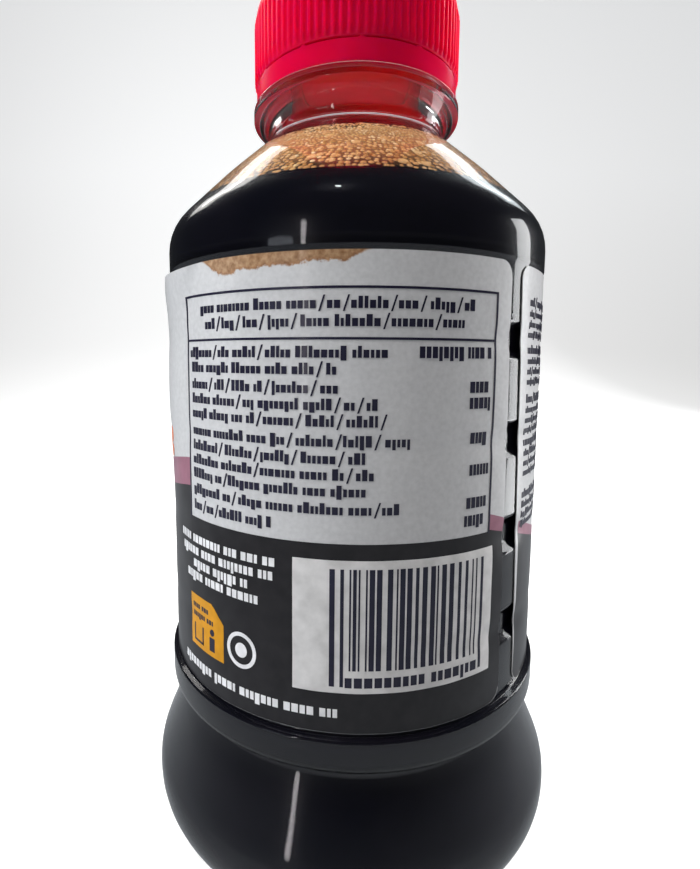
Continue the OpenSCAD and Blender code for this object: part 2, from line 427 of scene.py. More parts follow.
def with_parting_line(r, z, a):
    """Adds a ridge h exp(-(arc / w)^2) to the outside at both parting lines, fading towards the base."""
    arc = np.minimum(np.abs(np.sin(a)) * panel_r, 5)
    ridge = SEAM_H * np.exp(-(arc / SEAM_W) ** 2) * np.clip((z - 8) / 4, 0, 1)
    outer = (np.arange(len(r)) < outside_rows)[:, None] & (z < ring_z)
    return r + ridge * outer, z


bottle_line = np.concatenate([body_line, finish_line, refined(cavity_line[::-1], 2.4)])
bottle = add_piece(
    "bottle_shell", *lathe(bottle_line, bottle_angles, shape=with_parting_line),
    "clear_bottle", ["bottle"])

# %% [markdown]
# Clear plastic is glass to the renderer: full transmission and a smooth surface. Lamps can't be sampled
# through bent glass, so shadow rays pass straight through by a Transparent shader, which lights the foam
# and the sauce inside.

# %% Clear plastic
def let_lamps_through(tree, shader, tint):
    """Mixes in a Transparent shader for shadow rays only."""
    rays = add_node(tree, "ShaderNodeLightPath")
    clear = add_node(tree, "ShaderNodeBsdfTransparent", inputs={"Color": (*tint, 1)})
    mix = add_node(tree, "ShaderNodeMixShader")
    tree.links.new(rays.outputs["Is Shadow Ray"], mix.inputs["Fac"])
    tree.links.new(shader.outputs["BSDF"], mix.inputs[1])
    tree.links.new(clear.outputs["BSDF"], mix.inputs[2])
    tree.links.new(mix.outputs["Shader"], tree.nodes["Material Output"].inputs["Surface"])


clear_plastic, tree, shader = new_material(
    "clear_plastic", roughness=0.05, spread=0.03, wave=110, grain=900, grain_share=0.12,
    bump=0.16, depth=0.25,
    constants={"Base Color": (0.97, 0.98, 0.98, 1), "Transmission Weight": 1, "IOR": 1.5,
               "Coat Weight": 0.35, "Coat Roughness": 0.28})
let_lamps_through(tree, shader, (0.94, 0.95, 0.95))
put_on(bottle, clear_plastic)

# %% [markdown]
# ## The sauce
# It fills the cavity up to its level. Its surface reaches a little way into the wall, because the eye
# must not find an air gap between a liquid and the bottle. The sauce is almost black; the trace of blue in
# its colour is a painted reflection of the room.
# Its level, and the foam's foot with it, is drawn LEVEL_DROP below the imported one.

# %% Sauce
INTO_WALL = 0.14
LEVEL_DROP = 0.9


def cut_between(line, z_from, z_to):
    """The part of a line that lies between two heights, with a point on each cut."""
    rising = line[np.argmin(line[:, 1]):] if z_from > line[0, 1] else line
    inside = rising[(rising[:, 1] > z_from) & (rising[:, 1] < z_to)]
    wall = line[line[:, 1] > bead_z]

    def at(z):
        return [[np.interp(z, wall[:, 1], wall[:, 0]), z]]

    start = at(z_from) if z_from > bead_z else np.empty((0, 2))
    return np.concatenate([start, inside, at(z_to)])


def into_wall(depth):
    """The cavity's outline moved outwards by depth, into the wall."""
    return moved_in(cavity_line, np.full(len(cavity_line), -depth))


wet_line = into_wall(INTO_WALL)
wet_line[0, 0] = 0
sauce_z = fill_z - LEVEL_DROP
sauce_line = np.concatenate([cut_between(wet_line, -1, sauce_z), [[0, sauce_z]]])
sauce = add_piece("sauce", *lathe(sauce_line, even_angles(192)), "sauce", ["soy_sauce"])

dark_sauce, tree, shader = new_material(
    "dark_sauce", roughness=0.12, spread=0.06, wave=40, grain=300, bump=0.02, depth=0.1,
    constants={"Specular IOR Level": 0.06})
# The trace of blue in these stops is a painted reflection of the room, not the sauce's own colour.
SAUCE_STOPS = [(0.35, (0.0016, 0.0018, 0.004)), (0.7, (0.004, 0.0035, 0.006))]
slow = noise_value(tree, Scale=45, Detail=2)
tree.links.new(colour_ramp(tree, slow, SAUCE_STOPS), shader.inputs["Base Color"])
put_on(sauce, dark_sauce)

# %% [markdown]
# ## The foam
# The foam is thousands of wet bubbles pressed against the wall. They are small at the top and coarser
# near the sauce, so each row's spacing grows on the way down. A tan core behind them stops the eye, and
# the bubbles are joined meshes, one for each kind, as arrays of the same small dome.

# %% Core of the foam
CORE_IN_WALL = 0.03
CORE_DROP = 0.7
core_foot_z = sauce_z - 0.1
core_top_z = foam_z - CORE_DROP
core_line = np.concatenate([
    [[0, core_foot_z]], cut_between(into_wall(CORE_IN_WALL), core_foot_z, core_top_z),
    [[0, core_top_z - 0.6]]])


def foam_swell(r, z, a):
    """Makes the top of the core uneven: height + 0.3 sin(5a) sin(0.6 r)."""
    top = z > core_top_z - 0.7
    return r, z + np.where(top, 0.3 * np.sin(5 * a + 1) * np.sin(0.6 * r), 0)


core_line = refined(core_line, 0.8)
foam_core = add_piece(
    "foam_core", *lathe(core_line, even_angles(160), shape=foam_swell), "foam", ["foam"])


# %% Domes for the bubbles
def dome_template(columns, latitudes):
    """A unit dome about +z: rings at the given latitudes, a pole on top and a flat closed base."""
    a = even_angles(columns)
    rings = [np.stack([np.cos(b) * np.cos(a), np.cos(b) * np.sin(a), np.full(columns, np.sin(b))], 1)
             for b in np.radians(latitudes)]
    points = np.concatenate(rings + [[[0, 0, 1]], [[0, 0, np.sin(np.radians(latitudes[0]))]]])
    j = np.arange(columns)
    k = (j + 1) % columns
    top = len(rings) * columns
    last = top - columns
    faces = [np.stack([last + j, last + k, np.full(columns, top)], 1),
             np.stack([k, j, np.full(columns, top + 1)], 1)]
    for i in range(len(rings) - 1):
        at = i * columns
        faces.append(np.stack([at + j, at + k, at + columns + k], 1))
        faces.append(np.stack([at + j, at + columns + k, at + columns + j], 1))
    return points, np.concatenate(faces)


def add_bubbles(name, centres, outward, radii, tones, flatness=1.0):
    """Joins one dome per bubble: centre + radius (x e1 + y e2 + flatness z outward)."""
    unit_points, unit_faces = dome_template(7, [-20, 22, 58])
    e1 = np.cross(outward, [0, 0, 1.0001])
    e1 /= np.linalg.norm(e1, axis=1)[:, None]
    e2 = np.cross(outward, e1)
    p = unit_points[None, :, :, None] * np.array([1, 1, flatness])[None, None, :, None]
    axes = np.stack([e1, e2, outward], 1)[:, None]
    points = centres[:, None] + radii[:, None, None] * (p * axes).sum(2)
    faces = unit_faces[None] + (np.arange(len(centres)) * len(unit_points))[:, None, None]
    piece = add_piece(name, points.reshape(-1, 3), faces.reshape(-1, 3), "foam")
    tone = piece.data.attributes.new("tone", "FLOAT", "POINT")
    tone.data.foreach_set("value", np.repeat(tones, len(unit_points)).astype(np.float32))
    return piece


# %% [markdown]
# The bubbles sit in rows along the slope of the wall. Every row is shifted, and every bubble is moved
# and resized a little at random, so that no pattern shows.

# %% Bubbles against the wall
slope = cut_between(cavity_line, sauce_z, foam_z)
slope_length = np.concatenate([[0], np.cumsum(np.linalg.norm(np.diff(slope, axis=0), axis=1))])


def on_slope(s, a):
    """Points and outward directions on the cavity wall, s millimetres up the slope at angle a."""
    r = np.interp(s, slope_length, slope[:, 0])
    z = np.interp(s, slope_length, slope[:, 1])
    dr = np.interp(s + 0.3, slope_length, slope[:, 0]) - np.interp(s - 0.3, slope_length, slope[:, 0])
    dz = np.interp(s + 0.3, slope_length, slope[:, 1]) - np.interp(s - 0.3, slope_length, slope[:, 1])
    flat = np.stack([np.cos(a), np.sin(a)], 1)
    out = np.concatenate([flat * dz[:, None], -dr[:, None]], 1)
    at = np.concatenate([flat * r[:, None], z[:, None]], 1)
    return at, out / np.linalg.norm(out, axis=1)[:, None]


def bubble_rows():
    """Height up the slope, angle and spacing of each bubble, row by row."""
    total = slope_length[-1]
    s = 0.35
    found = []
    while s < total:
        spacing = 1.15 - 0.62 * min(1, s / (0.8 * total))
        r = np.interp(s, slope_length, slope[:, 0])
        count = int(2 * math.pi * r / spacing)
        a = (np.arange(count) + rng.uniform()) * 2 * math.pi / count
        found.append(np.stack([np.full(count, s), a, np.full(count, spacing)], 1))
        s += spacing * 0.84
    return np.concatenate(found)


rows = bubble_rows()
spacing = rows[:, 2]
up_slope = rows[:, 0] + rng.normal(0, 0.17, len(rows)) * spacing
angle = rows[:, 1] + rng.normal(0, 0.2, len(rows)) * spacing / 27
share = up_slope / slope_length[-1]
kept = rng.uniform(size=len(rows)) > np.where(share > 0.9, 0.12, 0.02)
size = spacing * 0.5 * rng.uniform(0.78, 1.3, len(rows))
BUBBLE_SINK = 0.45
at, out = on_slope(np.clip(up_slope, 0.05, slope_length[-1] - 0.1), angle)
centres = at - out * (BUBBLE_SINK * size)[:, None]
tones = np.clip(0.42 + 0.35 * share + rng.normal(0, 0.2, len(rows)), 0, 1)
fine = kept & (share > 0.5)
coarse = kept & (share <= 0.5)
bubbles = [
    add_bubbles("foam_fine_bubbles", centres[fine], out[fine], size[fine], tones[fine]),
    add_bubbles("foam_coarse_bubbles", centres[coarse], out[coarse], size[coarse], tones[coarse])]

# %% Large bubbles and the top of the foam
LARGE = 70
up = rng.beta(1.2, 2.2, LARGE) * (slope_length[-1] - 1.8) + 0.8
large_at, large_out = on_slope(up, rng.uniform(0, 2 * math.pi, LARGE))
large_size = rng.uniform(0.55, 1.05, LARGE)
bubbles.append(add_bubbles(
    "foam_large_bubbles", large_at - large_out * (large_size * 0.1)[:, None],
    large_out, large_size, rng.uniform(0.45, 0.85, LARGE), flatness=0.4))

TOP_COUNT = 1500
top_r = np.interp(core_top_z, slope[:, 1], slope[:, 0]) - 0.7
turns = np.arange(TOP_COUNT) + 0.5
spiral_r = top_r * np.sqrt(turns / TOP_COUNT)
spiral_a = turns * math.pi * (3 - math.sqrt(5))
top_at = np.stack([spiral_r * np.cos(spiral_a), spiral_r * np.sin(spiral_a),
                   np.full(TOP_COUNT, core_top_z - 0.5)], 1)
top_at[:, 2] += 0.6 * spiral_r / top_r
top_size = 0.62 * rng.uniform(0.7, 1.35, TOP_COUNT)
bubbles.append(add_bubbles(
    "foam_top_bubbles", top_at, np.tile([0.0, 0.02, 1.0], (TOP_COUNT, 1)), top_size,
    rng.uniform(0.3, 0.9, TOP_COUNT)))

# %% [markdown]
# Wet foam is amber where it is dense and paler where it is thin. Each bubble carries its own tone, and a
# clear coat gives the wet glint. Light also wanders inside foam, so a little of it goes under the skin.

# %% Foam finish
FOAM_STOPS = [(0.0, (0.32, 0.145, 0.05)), (0.4, (0.58, 0.30, 0.115)), (0.75, (0.74, 0.43, 0.20)),
              (1.0, (0.88, 0.64, 0.40))]
FOAM_WET = {"Coat Weight": 1, "Coat Roughness": 0.05, "Subsurface Weight": 0.25,
            "Subsurface Radius": (1.0, 0.5, 0.25), "Subsurface Scale": 0.0012}

wet_bubbles, tree, shader = new_material(
    "wet_bubbles", roughness=0.22, wave=700, grain=4000, bump=0.1, depth=0.05, constants=FOAM_WET)
tone = add_node(tree, "ShaderNodeAttribute", attribute_name="tone")
tree.links.new(colour_ramp(tree, tone.outputs["Fac"], FOAM_STOPS), shader.inputs["Base Color"])
for piece in bubbles:
    put_on(piece, wet_bubbles)

foam_body, tree, shader = new_material(
    "foam_body", roughness=0.5, wave=500, grain=1800, grain_share=0.6, bump=0.5, depth=0.2,
    constants={"Subsurface Weight": 0.2, "Subsurface Scale": 0.0012})
place = add_node(tree, "ShaderNodeSeparateXYZ")
tree.links.new(add_node(tree, "ShaderNodeTexCoord").outputs["Object"], place.inputs["Vector"])
depth_share = add_node(tree, "ShaderNodeMapRange", inputs={
    "From Min": sauce_z * MM, "From Max": core_top_z * MM})
tree.links.new(place.outputs["Z"], depth_share.inputs["Value"])
tree.links.new(colour_ramp(tree, depth_share.outputs["Result"], [
    (0.0, (0.006, 0.004, 0.003)), (0.08, (0.06, 0.026, 0.010)), (0.3, (0.22, 0.10, 0.036)),
    (1.0, (0.45, 0.23, 0.10))]), shader.inputs["Base Color"])
put_on(foam_core, foam_body)

# %% [markdown]
# ## The label
# A label is a thin sheet that follows the panel, bridges its grooves and stops short of meeting itself.
# Here it has come unstuck at the upper left: past a crease it stands off the bottle. Every place on it is
# given by u, the millimetres round the body from the front, and z, its height. The print uses the same
# surface, so it lies on the sheet wherever the sheet goes. The lift has its own curve here: it peaks nearer
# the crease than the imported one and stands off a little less.

# %% The label's surface
LABEL_T = 0.15
ROUND_R = 37.0
around = 2 * math.pi * ROUND_R
label_z0 = low("label")
label_z1 = high("label")
CORNER_R = 2.5
LIFT_SWEEP = 44.0


def sheet_ends(z):
    """Where the sheet starts and ends round the body: its cut edges lean and draw in at the grooves."""
    v = (z - label_z0) / (label_z1 - label_z0)
    pull = sum(np.exp(-((z - g) / 1.9) ** 2) for g in groove_zs)
    return 30.9 - 2.9 * v + 0.25 * pull - around, 25.7 - 0.9 * v - 0.2 * pull


def lifted(u, z):
    """How far the sheet stands off: 12.2 t (1 - t)^4 past the crease, most at the top edge."""
    crease = -29.2 - 6 * (1 - np.exp(-(label_z1 - z) / 7))
    t = np.clip((crease - u) / LIFT_SWEEP, 0, 1)
    down = 1.25 * np.exp(-((label_z1 - z) / 7) ** 2) + 0.7 * np.exp(-((z - 84) / 13) ** 2)
    return 12.2 * t * (1 - t) ** 4 * down


def sheet_point(u, z, out):
    """The point of the sheet at (u, z), out millimetres above its inner side."""
    first, last = sheet_ends(z)
    edge = np.exp(-np.minimum(u - first, last - u).clip(0) / 3)
    grooves = sum(np.exp(-((z - g) / 1.8) ** 2) for g in groove_zs)
    ripple = 0.02 * np.sin(u * 0.9 + z * 0.21) * np.sin(z * 0.33 + 1)
    r = panel_r + 0.09 + out + lifted(u, z) - grooves * (0.07 + 0.5 * edge) * (1 - 0.6 * edge) + ripple
    a = u / ROUND_R
    return np.stack([r * np.sin(a), -r * np.cos(a), z - 0.45 * lifted(u, z)], -1)


def close_sheet(outer, inner, wrap=False):
    """Joins an outer and an inner grid of points into one closed sheet. With wrap, its ends meet."""
    rows_n, columns_n = outer.shape[:2]
    index = np.arange(rows_n * columns_n).reshape(rows_n, columns_n)
    if wrap:
        index = np.concatenate([index, index[:, :1]], 1)
    back = index + rows_n * columns_n

    def quads(a, b, c, d):
        return np.stack([a.ravel(), b.ravel(), c.ravel(), d.ravel()], 1)

    faces = [quads(index[:-1, :-1], index[:-1, 1:], index[1:, 1:], index[1:, :-1]),
             quads(back[:-1, :-1], back[1:, :-1], back[1:, 1:], back[:-1, 1:]),
             quads(back[0, :-1], back[0, 1:], index[0, 1:], index[0, :-1]),
             quads(index[-1, :-1], index[-1, 1:], back[-1, 1:], back[-1, :-1])]
    if not wrap:
        faces += [quads(index[:-1, 0], index[1:, 0], back[1:, 0], back[:-1, 0]),
                  quads(back[:-1, -1], back[1:, -1], index[1:, -1], index[:-1, -1])]
    return np.concatenate([outer.reshape(-1, 3), inner.reshape(-1, 3)]), np.concatenate(faces)


# %% The sheet itself
bow = np.radians(np.linspace(0, 90, 7))[:-1]
ends = CORNER_R * (1 - np.cos(bow))
sheet_length = around - 5
across = np.linspace(CORNER_R, sheet_length - CORNER_R, 300)
s = np.concatenate([ends, across, sheet_length - ends[::-1]])
s_share = s / s[-1]
distance = np.minimum(s, s[-1] - s)
t = np.clip(1 - distance / CORNER_R, 0, 1)
margin = CORNER_R * (1 - np.sqrt(1 - t ** 2))
v = np.linspace(0, 1, 92)[:, None]
sheet_z = label_z0 + margin + v * (label_z1 - label_z0 - 2 * margin)
first, last = sheet_ends(sheet_z)
sheet_u = first + s_share * (last - first)
label = add_piece(
    "label_sheet",
    *close_sheet(sheet_point(sheet_u, sheet_z, LABEL_T), sheet_point(sheet_u, sheet_z, 0)),
    "label", ["label"], sharp=50)

# The sheet's own map, for the stain: u and z as shares of a whole turn and of the sheet's height. The turn
# ends just past the sheet's right end.
TURN_END = 27
TURN_FROM = TURN_END - around
share_u = np.concatenate([sheet_u.ravel(), sheet_u.ravel()])
share_z = np.concatenate([sheet_z.ravel(), sheet_z.ravel()])
per_point = np.stack([(share_u - TURN_FROM) / around, (share_z - label_z0) / (label_z1 - label_z0)], 1)
corner_of = np.empty(len(label.data.loops), int)
label.data.loops.foreach_get("vertex_index", corner_of)
label.data.uv_layers.new(name="sheet").data.foreach_set("uv", per_point[corner_of].ravel())

# %% [markdown]
# ## The print
# The print is made as thin raised ink: fields of colour, thin lines and blocks. Type is reduced to plain
# blocks, as a printer's layout shows it before there are words. Each ink is one piece.

# %% Ink helpers
# How far each kind of ink stands above the sheet, so that none cuts through another, and how far into it
GROUND_T = 0.03
WAVE_T = 0.034
PATCH_T = 0.055
INK_T = 0.075
INK_ROOT = 0.03
GRID_Z = 0.8


class Ink:
    """Collects the patches of one ink and joins them into one piece."""

    def __init__(self, name, height):
        self.name = name
        self.height = height
        self.points = []
        self.faces = []
        self.count = 0

    def grid(self, u, z, wrap=False):
        """Adds a closed patch over a grid of places (u, z)."""
        points, faces = close_sheet(
            sheet_point(u, z, LABEL_T + self.height), sheet_point(u, z, LABEL_T - INK_ROOT), wrap)
        self.points.append(points)
        self.faces.append(faces + self.count)
        self.count += len(points)

    def field(self, u0, u1, z0, z1):
        """Adds a field from u0 to u1 between two heights, which may be functions of u. All fields share the
        same grid lines, so that a field on top of another stays parallel to it: z = clip(line, z0, z1)."""
        u = np.concatenate([[u0], np.arange(math.floor(u0) + 1, u1 - 1e-3), [u1]])
        bottom = z0(u) if callable(z0) else np.full(len(u), z0)
        top = z1(u) if callable(z1) else np.full(len(u), z1)
        z_from = math.floor(bottom.min() / GRID_Z) + 1
        lines = np.arange(z_from, math.ceil(top.max() / GRID_Z)) * GRID_Z
        z = np.concatenate([[bottom], np.clip(lines[:, None], bottom, top), [top]])
        first, last = sheet_ends(z)
        self.grid(np.clip(u, first + 0.05, last - 0.05), z)

    def ring(self, u, z, r_in, r_out, squash=1.0, columns=36):
        """Adds a ring, or a disc if r_in is 0, about the place (u, z)."""
        a = even_angles(columns)[::-1]
        r = np.linspace(r_in, r_out, max(2, math.ceil((r_out - r_in) / 1.2) + 1))[:, None]
        self.grid((u + r * np.cos(a))[::-1], (z + r * np.sin(a) * squash)[::-1], wrap=True)

    def blocks(self, made):
        """Adds many small blocks [u0, u1, z0, z1, lean of the top] at once."""
        lean = made[:, 4]
        u = np.stack([made[:, 0], made[:, 1], made[:, 1] + lean, made[:, 0] + lean], 1)
        z = np.stack([made[:, 2], made[:, 2], made[:, 3], made[:, 3]], 1)
        top = sheet_point(u, z, LABEL_T + self.height)
        bottom = sheet_point(u, z, LABEL_T - INK_ROOT)
        points = np.concatenate([top, bottom], 1)
        box = np.array([[0, 1, 2, 3], [7, 6, 5, 4], [4, 5, 1, 0],
                        [5, 6, 2, 1], [6, 7, 3, 2], [7, 4, 0, 3]])
        faces = box[None] + (np.arange(len(made)) * 8)[:, None, None] + self.count
        self.points.append(points.reshape(-1, 3))
        self.faces.append(faces.reshape(-1, 4))
        self.count += len(made) * 8

    def finish(self):
        return add_piece(
            self.name, np.concatenate(self.points), np.concatenate(self.faces), "label", sharp=35)


def type_line(u0, u1, z, height, tall=0.3, strokes=0.4):
    """One line of type as blocks of random width, with word spaces and some slanted strokes, up to u1."""
    n = int((u1 - u0) / (height * 0.5)) + 4
    width = height * rng.uniform(0.3, 0.66, n)
    space = np.full(n, height * 0.17)
    word_end = np.cumsum(rng.integers(3, 9, n)).clip(0, n - 1)
    space[word_end] = height * 0.6
    left = u0 + np.concatenate([[0], np.cumsum(width + space)[:-1]])
    rise = np.where(rng.uniform(size=n) < tall, height * 0.4, 0)
    drop = np.where(rng.uniform(size=n) < 0.1, height * 0.3, 0)
    lean = np.zeros(n)
    stroke = word_end[rng.uniform(size=n) < strokes]
    width[stroke] = height * 0.2
    left[stroke] += height * 0.1
    rise[stroke] = height * 0.55
    drop[stroke] = height * 0.3
    lean[stroke] = height * 0.55
    made = np.stack([left, left + width, z - drop, z + height * 0.84 + rise, lean], 1)
    return made[made[:, 1] <= u1]


# %% Fields of colour
def wave_middle(u):
    """Height of the middle of the wave: a + b cos of one turn round the body."""
    return 58.3 + 12.1 * np.cos(2 * math.pi * (u + 20) / around)


def wave_width(u):
    return 3.4 + 1.8 * np.cos(2 * math.pi * (u + 55) / around)


TABLE = (-33.2, 21.5)
TABLE_FOOT = 62.0
sheet_low = label_z0 + 0.05
first_u, last_u = [float(e) for e in sheet_ends(np.array(label_z0))]


def dark_top(u):
    """Upper edge of the dark field: under the wave, or under the table."""
    wave = wave_middle(u) - wave_width(u) / 2
    return np.where((u >= TABLE[0]) & (u <= TABLE[1]), TABLE_FOOT, wave)


def corner_lift(u):
    """How far a field keeps from the sheet's foot where its corners are round."""
    t_end = np.clip(1 - (np.minimum(u - first_u, last_u - u) - 0.1) / CORNER_R, 0, 0.99)
    return sheet_low + CORNER_R * (1 - np.sqrt(1 - t_end ** 2))


dark_field = Ink("label_dark_field", GROUND_T)
wave_field = Ink("label_wave", WAVE_T)
pale_field = Ink("label_pale_panel", PATCH_T)
for u0, u1 in ((first_u, TABLE[0]), (TABLE[0], TABLE[1]), (TABLE[1], last_u)):
    dark_field.field(u0 + 0.001, u1 - 0.001, corner_lift, dark_top)
for u0, u1 in ((first_u, TABLE[0]), (TABLE[1], last_u)):
    wave_field.field(u0, u1, lambda u: wave_middle(u) - wave_width(u) / 2,
                     lambda u: wave_middle(u) + wave_width(u) / 2)
pale_field.field(-10.7, 22.5, 38.8, 59.5)

# %% Table, stripes and type
dark_ink = Ink("label_dark_ink", INK_T)
white_ink = Ink("label_white_ink", INK_T)
LINE_W = 0.36
table_top = 99.2
for z in (table_top, 92.1):
    dark_ink.field(TABLE[0], TABLE[1], z - LINE_W, z)
for u in (TABLE[0], TABLE[1] - LINE_W):
    dark_ink.field(u, u + LINE_W, TABLE_FOOT - 0.2, table_top)

TYPE_H = 1.35
table_rows = [(96.1, -28.5, 17.2), (93.6, -27.3, 16.2), (89.2, -32, 3.5), (86.8, -31.6, -4.1),
              (84.1, -31.6, -3.2), (81.7, -31.6, 1.8), (79.3, -31.6, 4.2), (76.4, -31.6, 7),
              (73.9, -31.6, 0.8), (71.5, -31.6, 1.4), (69.1, -31.6, 1), (66.4, -31.6, 5.8),
              (63.6, -31.6, -14.1)]
for z, u0, u1 in table_rows:
    dark_ink.blocks(type_line(u0, u1, z, TYPE_H))
table_ends = [(89.2, 7.7), (84.1, 16.3), (81.7, 16.3), (76.4, 16.7), (71.5, 16.7), (66.4, 16.3), (63.6, 16)]
for z, u0 in table_ends:
    dark_ink.blocks(type_line(u0, 20.7, z, TYPE_H, tall=1, strokes=0))

# Stripes of random widths, which carry no number
MODULE = 0.27
STRIPES_U = -5
STRIPES_W = 25.4
stripe_edge = np.concatenate([[0], np.cumsum(rng.integers(1, 4, 60) * MODULE)])
stripe_edge = stripe_edge[stripe_edge < STRIPES_W]
last_stripe = len(stripe_edge) - 2 - len(stripe_edge) % 2
for i in range(0, len(stripe_edge) - 1, 2):
    foot = 39.8 if i in (0, 2, last_stripe) else 42.4
    dark_ink.field(STRIPES_U + stripe_edge[i], STRIPES_U + stripe_edge[i + 1], foot, 58.2)
dark_ink.blocks(type_line(-2.6, 19.6, 39.7, 1.9, tall=0, strokes=0))

for z, u0, u1 in ((57.5, -37.5, -13.4), (55.3, -36.7, -13.4), (53.1, -32.4, -17.4), (50.9, -34.9, -15.5),
                  (34.8, -36.4, -3.4)):
    white_ink.blocks(type_line(u0, u1, z, 1.6, tall=0, strokes=0))
white_ink.ring(-20, 42.4, 2.35, 3.0)
white_ink.ring(-20, 42.4, 0, 1.2, columns=24)

# The sheet's other end: groups of four lines, the first of each bolder
for top in (98.5, 90.7, 82.5, 75.2, 66.2):
    for i in range(4):
        right = 31.3 + rng.uniform(15, 22) - around
        dark_ink.blocks(type_line(31.5 - around, right, top - 0.6 - 1.72 * i, 1.2 if i == 0 else 0.95))

# %% Yellow tag and the plain front
tag = Ink("label_yellow_tag", PATCH_T)
tag.field(-33.7, -23.9, 38.7, lambda u: 48 - np.maximum(0, u + 26.7))
dark_ink.blocks(type_line(-32.9, -27.6, 45.7, 1.0, tall=0, strokes=0))
dark_ink.blocks(type_line(-32.9, -26.6, 44.1, 1.0, tall=0, strokes=0))
dark_ink.field(-32.6, -29.4, 39.6, 40.0)
dark_ink.field(-32.6, -32.2, 39.6, 42.8)
dark_ink.field(-29.8, -29.4, 39.6, 42.8)
dark_ink.field(-27.6, -26.2, 39.6, 42.0)
dark_ink.ring(-26.9, 42.9, 0, 0.6, columns=14)

warm_ink = Ink("label_warm_spots", PATCH_T)
for u, z, r in ((-44.0, 75.0, 1.7), (-43.9, 72.0, 1.4), (-48.4, 73.6, 2.4), (-53.4, 75.0, 2.1)):
    warm_ink.ring(u, z, 0, r, squash=0.95, columns=24)
FRONT_U = -118
wave_field.ring(FRONT_U, 80, 13.2, 15.2, columns=64)
dark_field.ring(FRONT_U, 80, 0, 11.5, columns=64)
white_ink.ring(FRONT_U, 80, 6.2, 7.0, columns=48)
print("print made of", len(dark_ink.points) + len(white_ink.points), "patches")

# %% [markdown]
# Ink on a coated label is satin. Each ink is nearly one colour, with the faint mottle of real printing,
# and the sheet under it is a cool white. Sauce has run down and dried on the top edge: the stain is
# darkest along its ragged lower rim, as coffee rings are.

# %% Label finishes
SATIN = {"wave": 90, "grain": 1500, "grain_share": 0.15, "constants": {
    "Specular IOR Level": 0.25, "Coat Weight": 0.3, "Coat Roughness": 0.13}}


def ink_material(name, colour):
    """Satin ink: one colour with a faint mottle."""
    material, tree, shader = new_material(name, roughness=0.34, spread=0.1, bump=0.1, depth=0.12, **SATIN)
    mottle = noise_value(tree, Scale=420, Detail=4)
    pale = tuple(min(1, c * 1.12 + 0.004) for c in colour)
    deep = tuple(c * 0.88 for c in colour)
    tree.links.new(colour_ramp(tree, mottle, [(0.3, deep), (0.7, pale)]), shader.inputs["Base Color"])
    return material


# The pale panel is a real white patch of the print, but it is set lighter than the sheet's paper as painted
# light, for the brighter light on the label's lower part.
for ink, colour in ((dark_field, (0.011, 0.010, 0.012)), (wave_field, (0.29, 0.12, 0.17)),
                    (pale_field, (0.62, 0.61, 0.61)), (dark_ink, (0.012, 0.011, 0.030)),
                    (white_ink, (0.72, 0.72, 0.74)), (tag, (0.58, 0.255, 0.0)),
                    (warm_ink, (0.72, 0.19, 0.07))):
    put_on(ink.finish(), ink_material(ink.name + "_ink", colour))


def stained_paper():
    """White coated paper. The stain is where depth(u) - distance from the top edge is above 0."""
    material, tree, shader = new_material(
        "stained_paper", roughness=0.36, spread=0.12, bump=0.12, depth=0.15, **SATIN)
    place = add_node(tree, "ShaderNodeSeparateXYZ")
    tree.links.new(add_node(tree, "ShaderNodeUVMap", uv_map="sheet").outputs["UV"], place.inputs["Vector"])
    u = math_node(tree, "MULTIPLY_ADD", place.outputs["X"], around, TURN_FROM)
    from_top = math_node(
        tree, "MULTIPLY_ADD", place.outputs["Y"], label_z0 - label_z1, label_z1 - label_z0)
    ragged = noise_value(tree, Scale=330, Detail=5, Roughness=0.7)
    speckle = noise_value(tree, Scale=1300, Detail=3)

    def ramp(value, start, end):
        node = add_node(tree, "ShaderNodeMapRange", interpolation_type="SMOOTHSTEP",
                        inputs={"From Min": start, "From Max": end})
        tree.links.new(value, node.inputs["Value"])
        return node.outputs["Result"]

    reach = math_node(tree, "MULTIPLY", ramp(u, -28.6, -23), math_node(
        tree, "SUBTRACT", 1.0, ramp(u, -3.5, 1.2)))
    taper = math_node(tree, "SUBTRACT", 2.6, math_node(tree, "MULTIPLY", ramp(u, -22, -4), 1.0))
    wander = math_node(tree, "MULTIPLY", math_node(tree, "SUBTRACT", ragged, 0.5), 3.2)
    depth = math_node(tree, "MULTIPLY", math_node(tree, "ADD", taper, wander), reach)
    inside = math_node(tree, "SUBTRACT", depth, from_top)
    mask = ramp(inside, -0.1, 0.4)
    rim = math_node(tree, "MULTIPLY", mask, math_node(tree, "SUBTRACT", 1.0, ramp(inside, 0.15, 0.8)))
    paper = colour_ramp(tree, speckle, [(0.3, (0.50, 0.50, 0.51)), (0.7, (0.57, 0.57, 0.58))])
    tan = colour_ramp(tree, speckle, [(0.3, (0.22, 0.11, 0.05)), (0.7, (0.44, 0.28, 0.16))])
    base = add_node(tree, "ShaderNodeMix", data_type="RGBA")
    tree.links.new(mask, base.inputs["Factor"])
    tree.links.new(paper, base.inputs["A"])
    tree.links.new(tan, base.inputs["B"])
    edge = add_node(tree, "ShaderNodeMix", data_type="RGBA", blend_type="MULTIPLY")
    tree.links.new(math_node(tree, "MULTIPLY", rim, 0.75), edge.inputs["Factor"])
    tree.links.new(base.outputs["Result"], edge.inputs["A"])
    edge.inputs["B"].default_value = (0.72, 0.5, 0.34, 1)
    tree.links.new(edge.outputs["Result"], shader.inputs["Base Color"])
    return material


put_on(label, stained_paper())

# %% [markdown]
# ## The cap and its band
# The cap has a smooth crown over a belt of grip ribs. Below it a smooth band stays on the neck when the
# cap is opened, and thin bridges join the two until then. A flap inside the band hooks under the neck's
# locking bead. The ribs are a wave in the radius, as a function of the angle and the height.

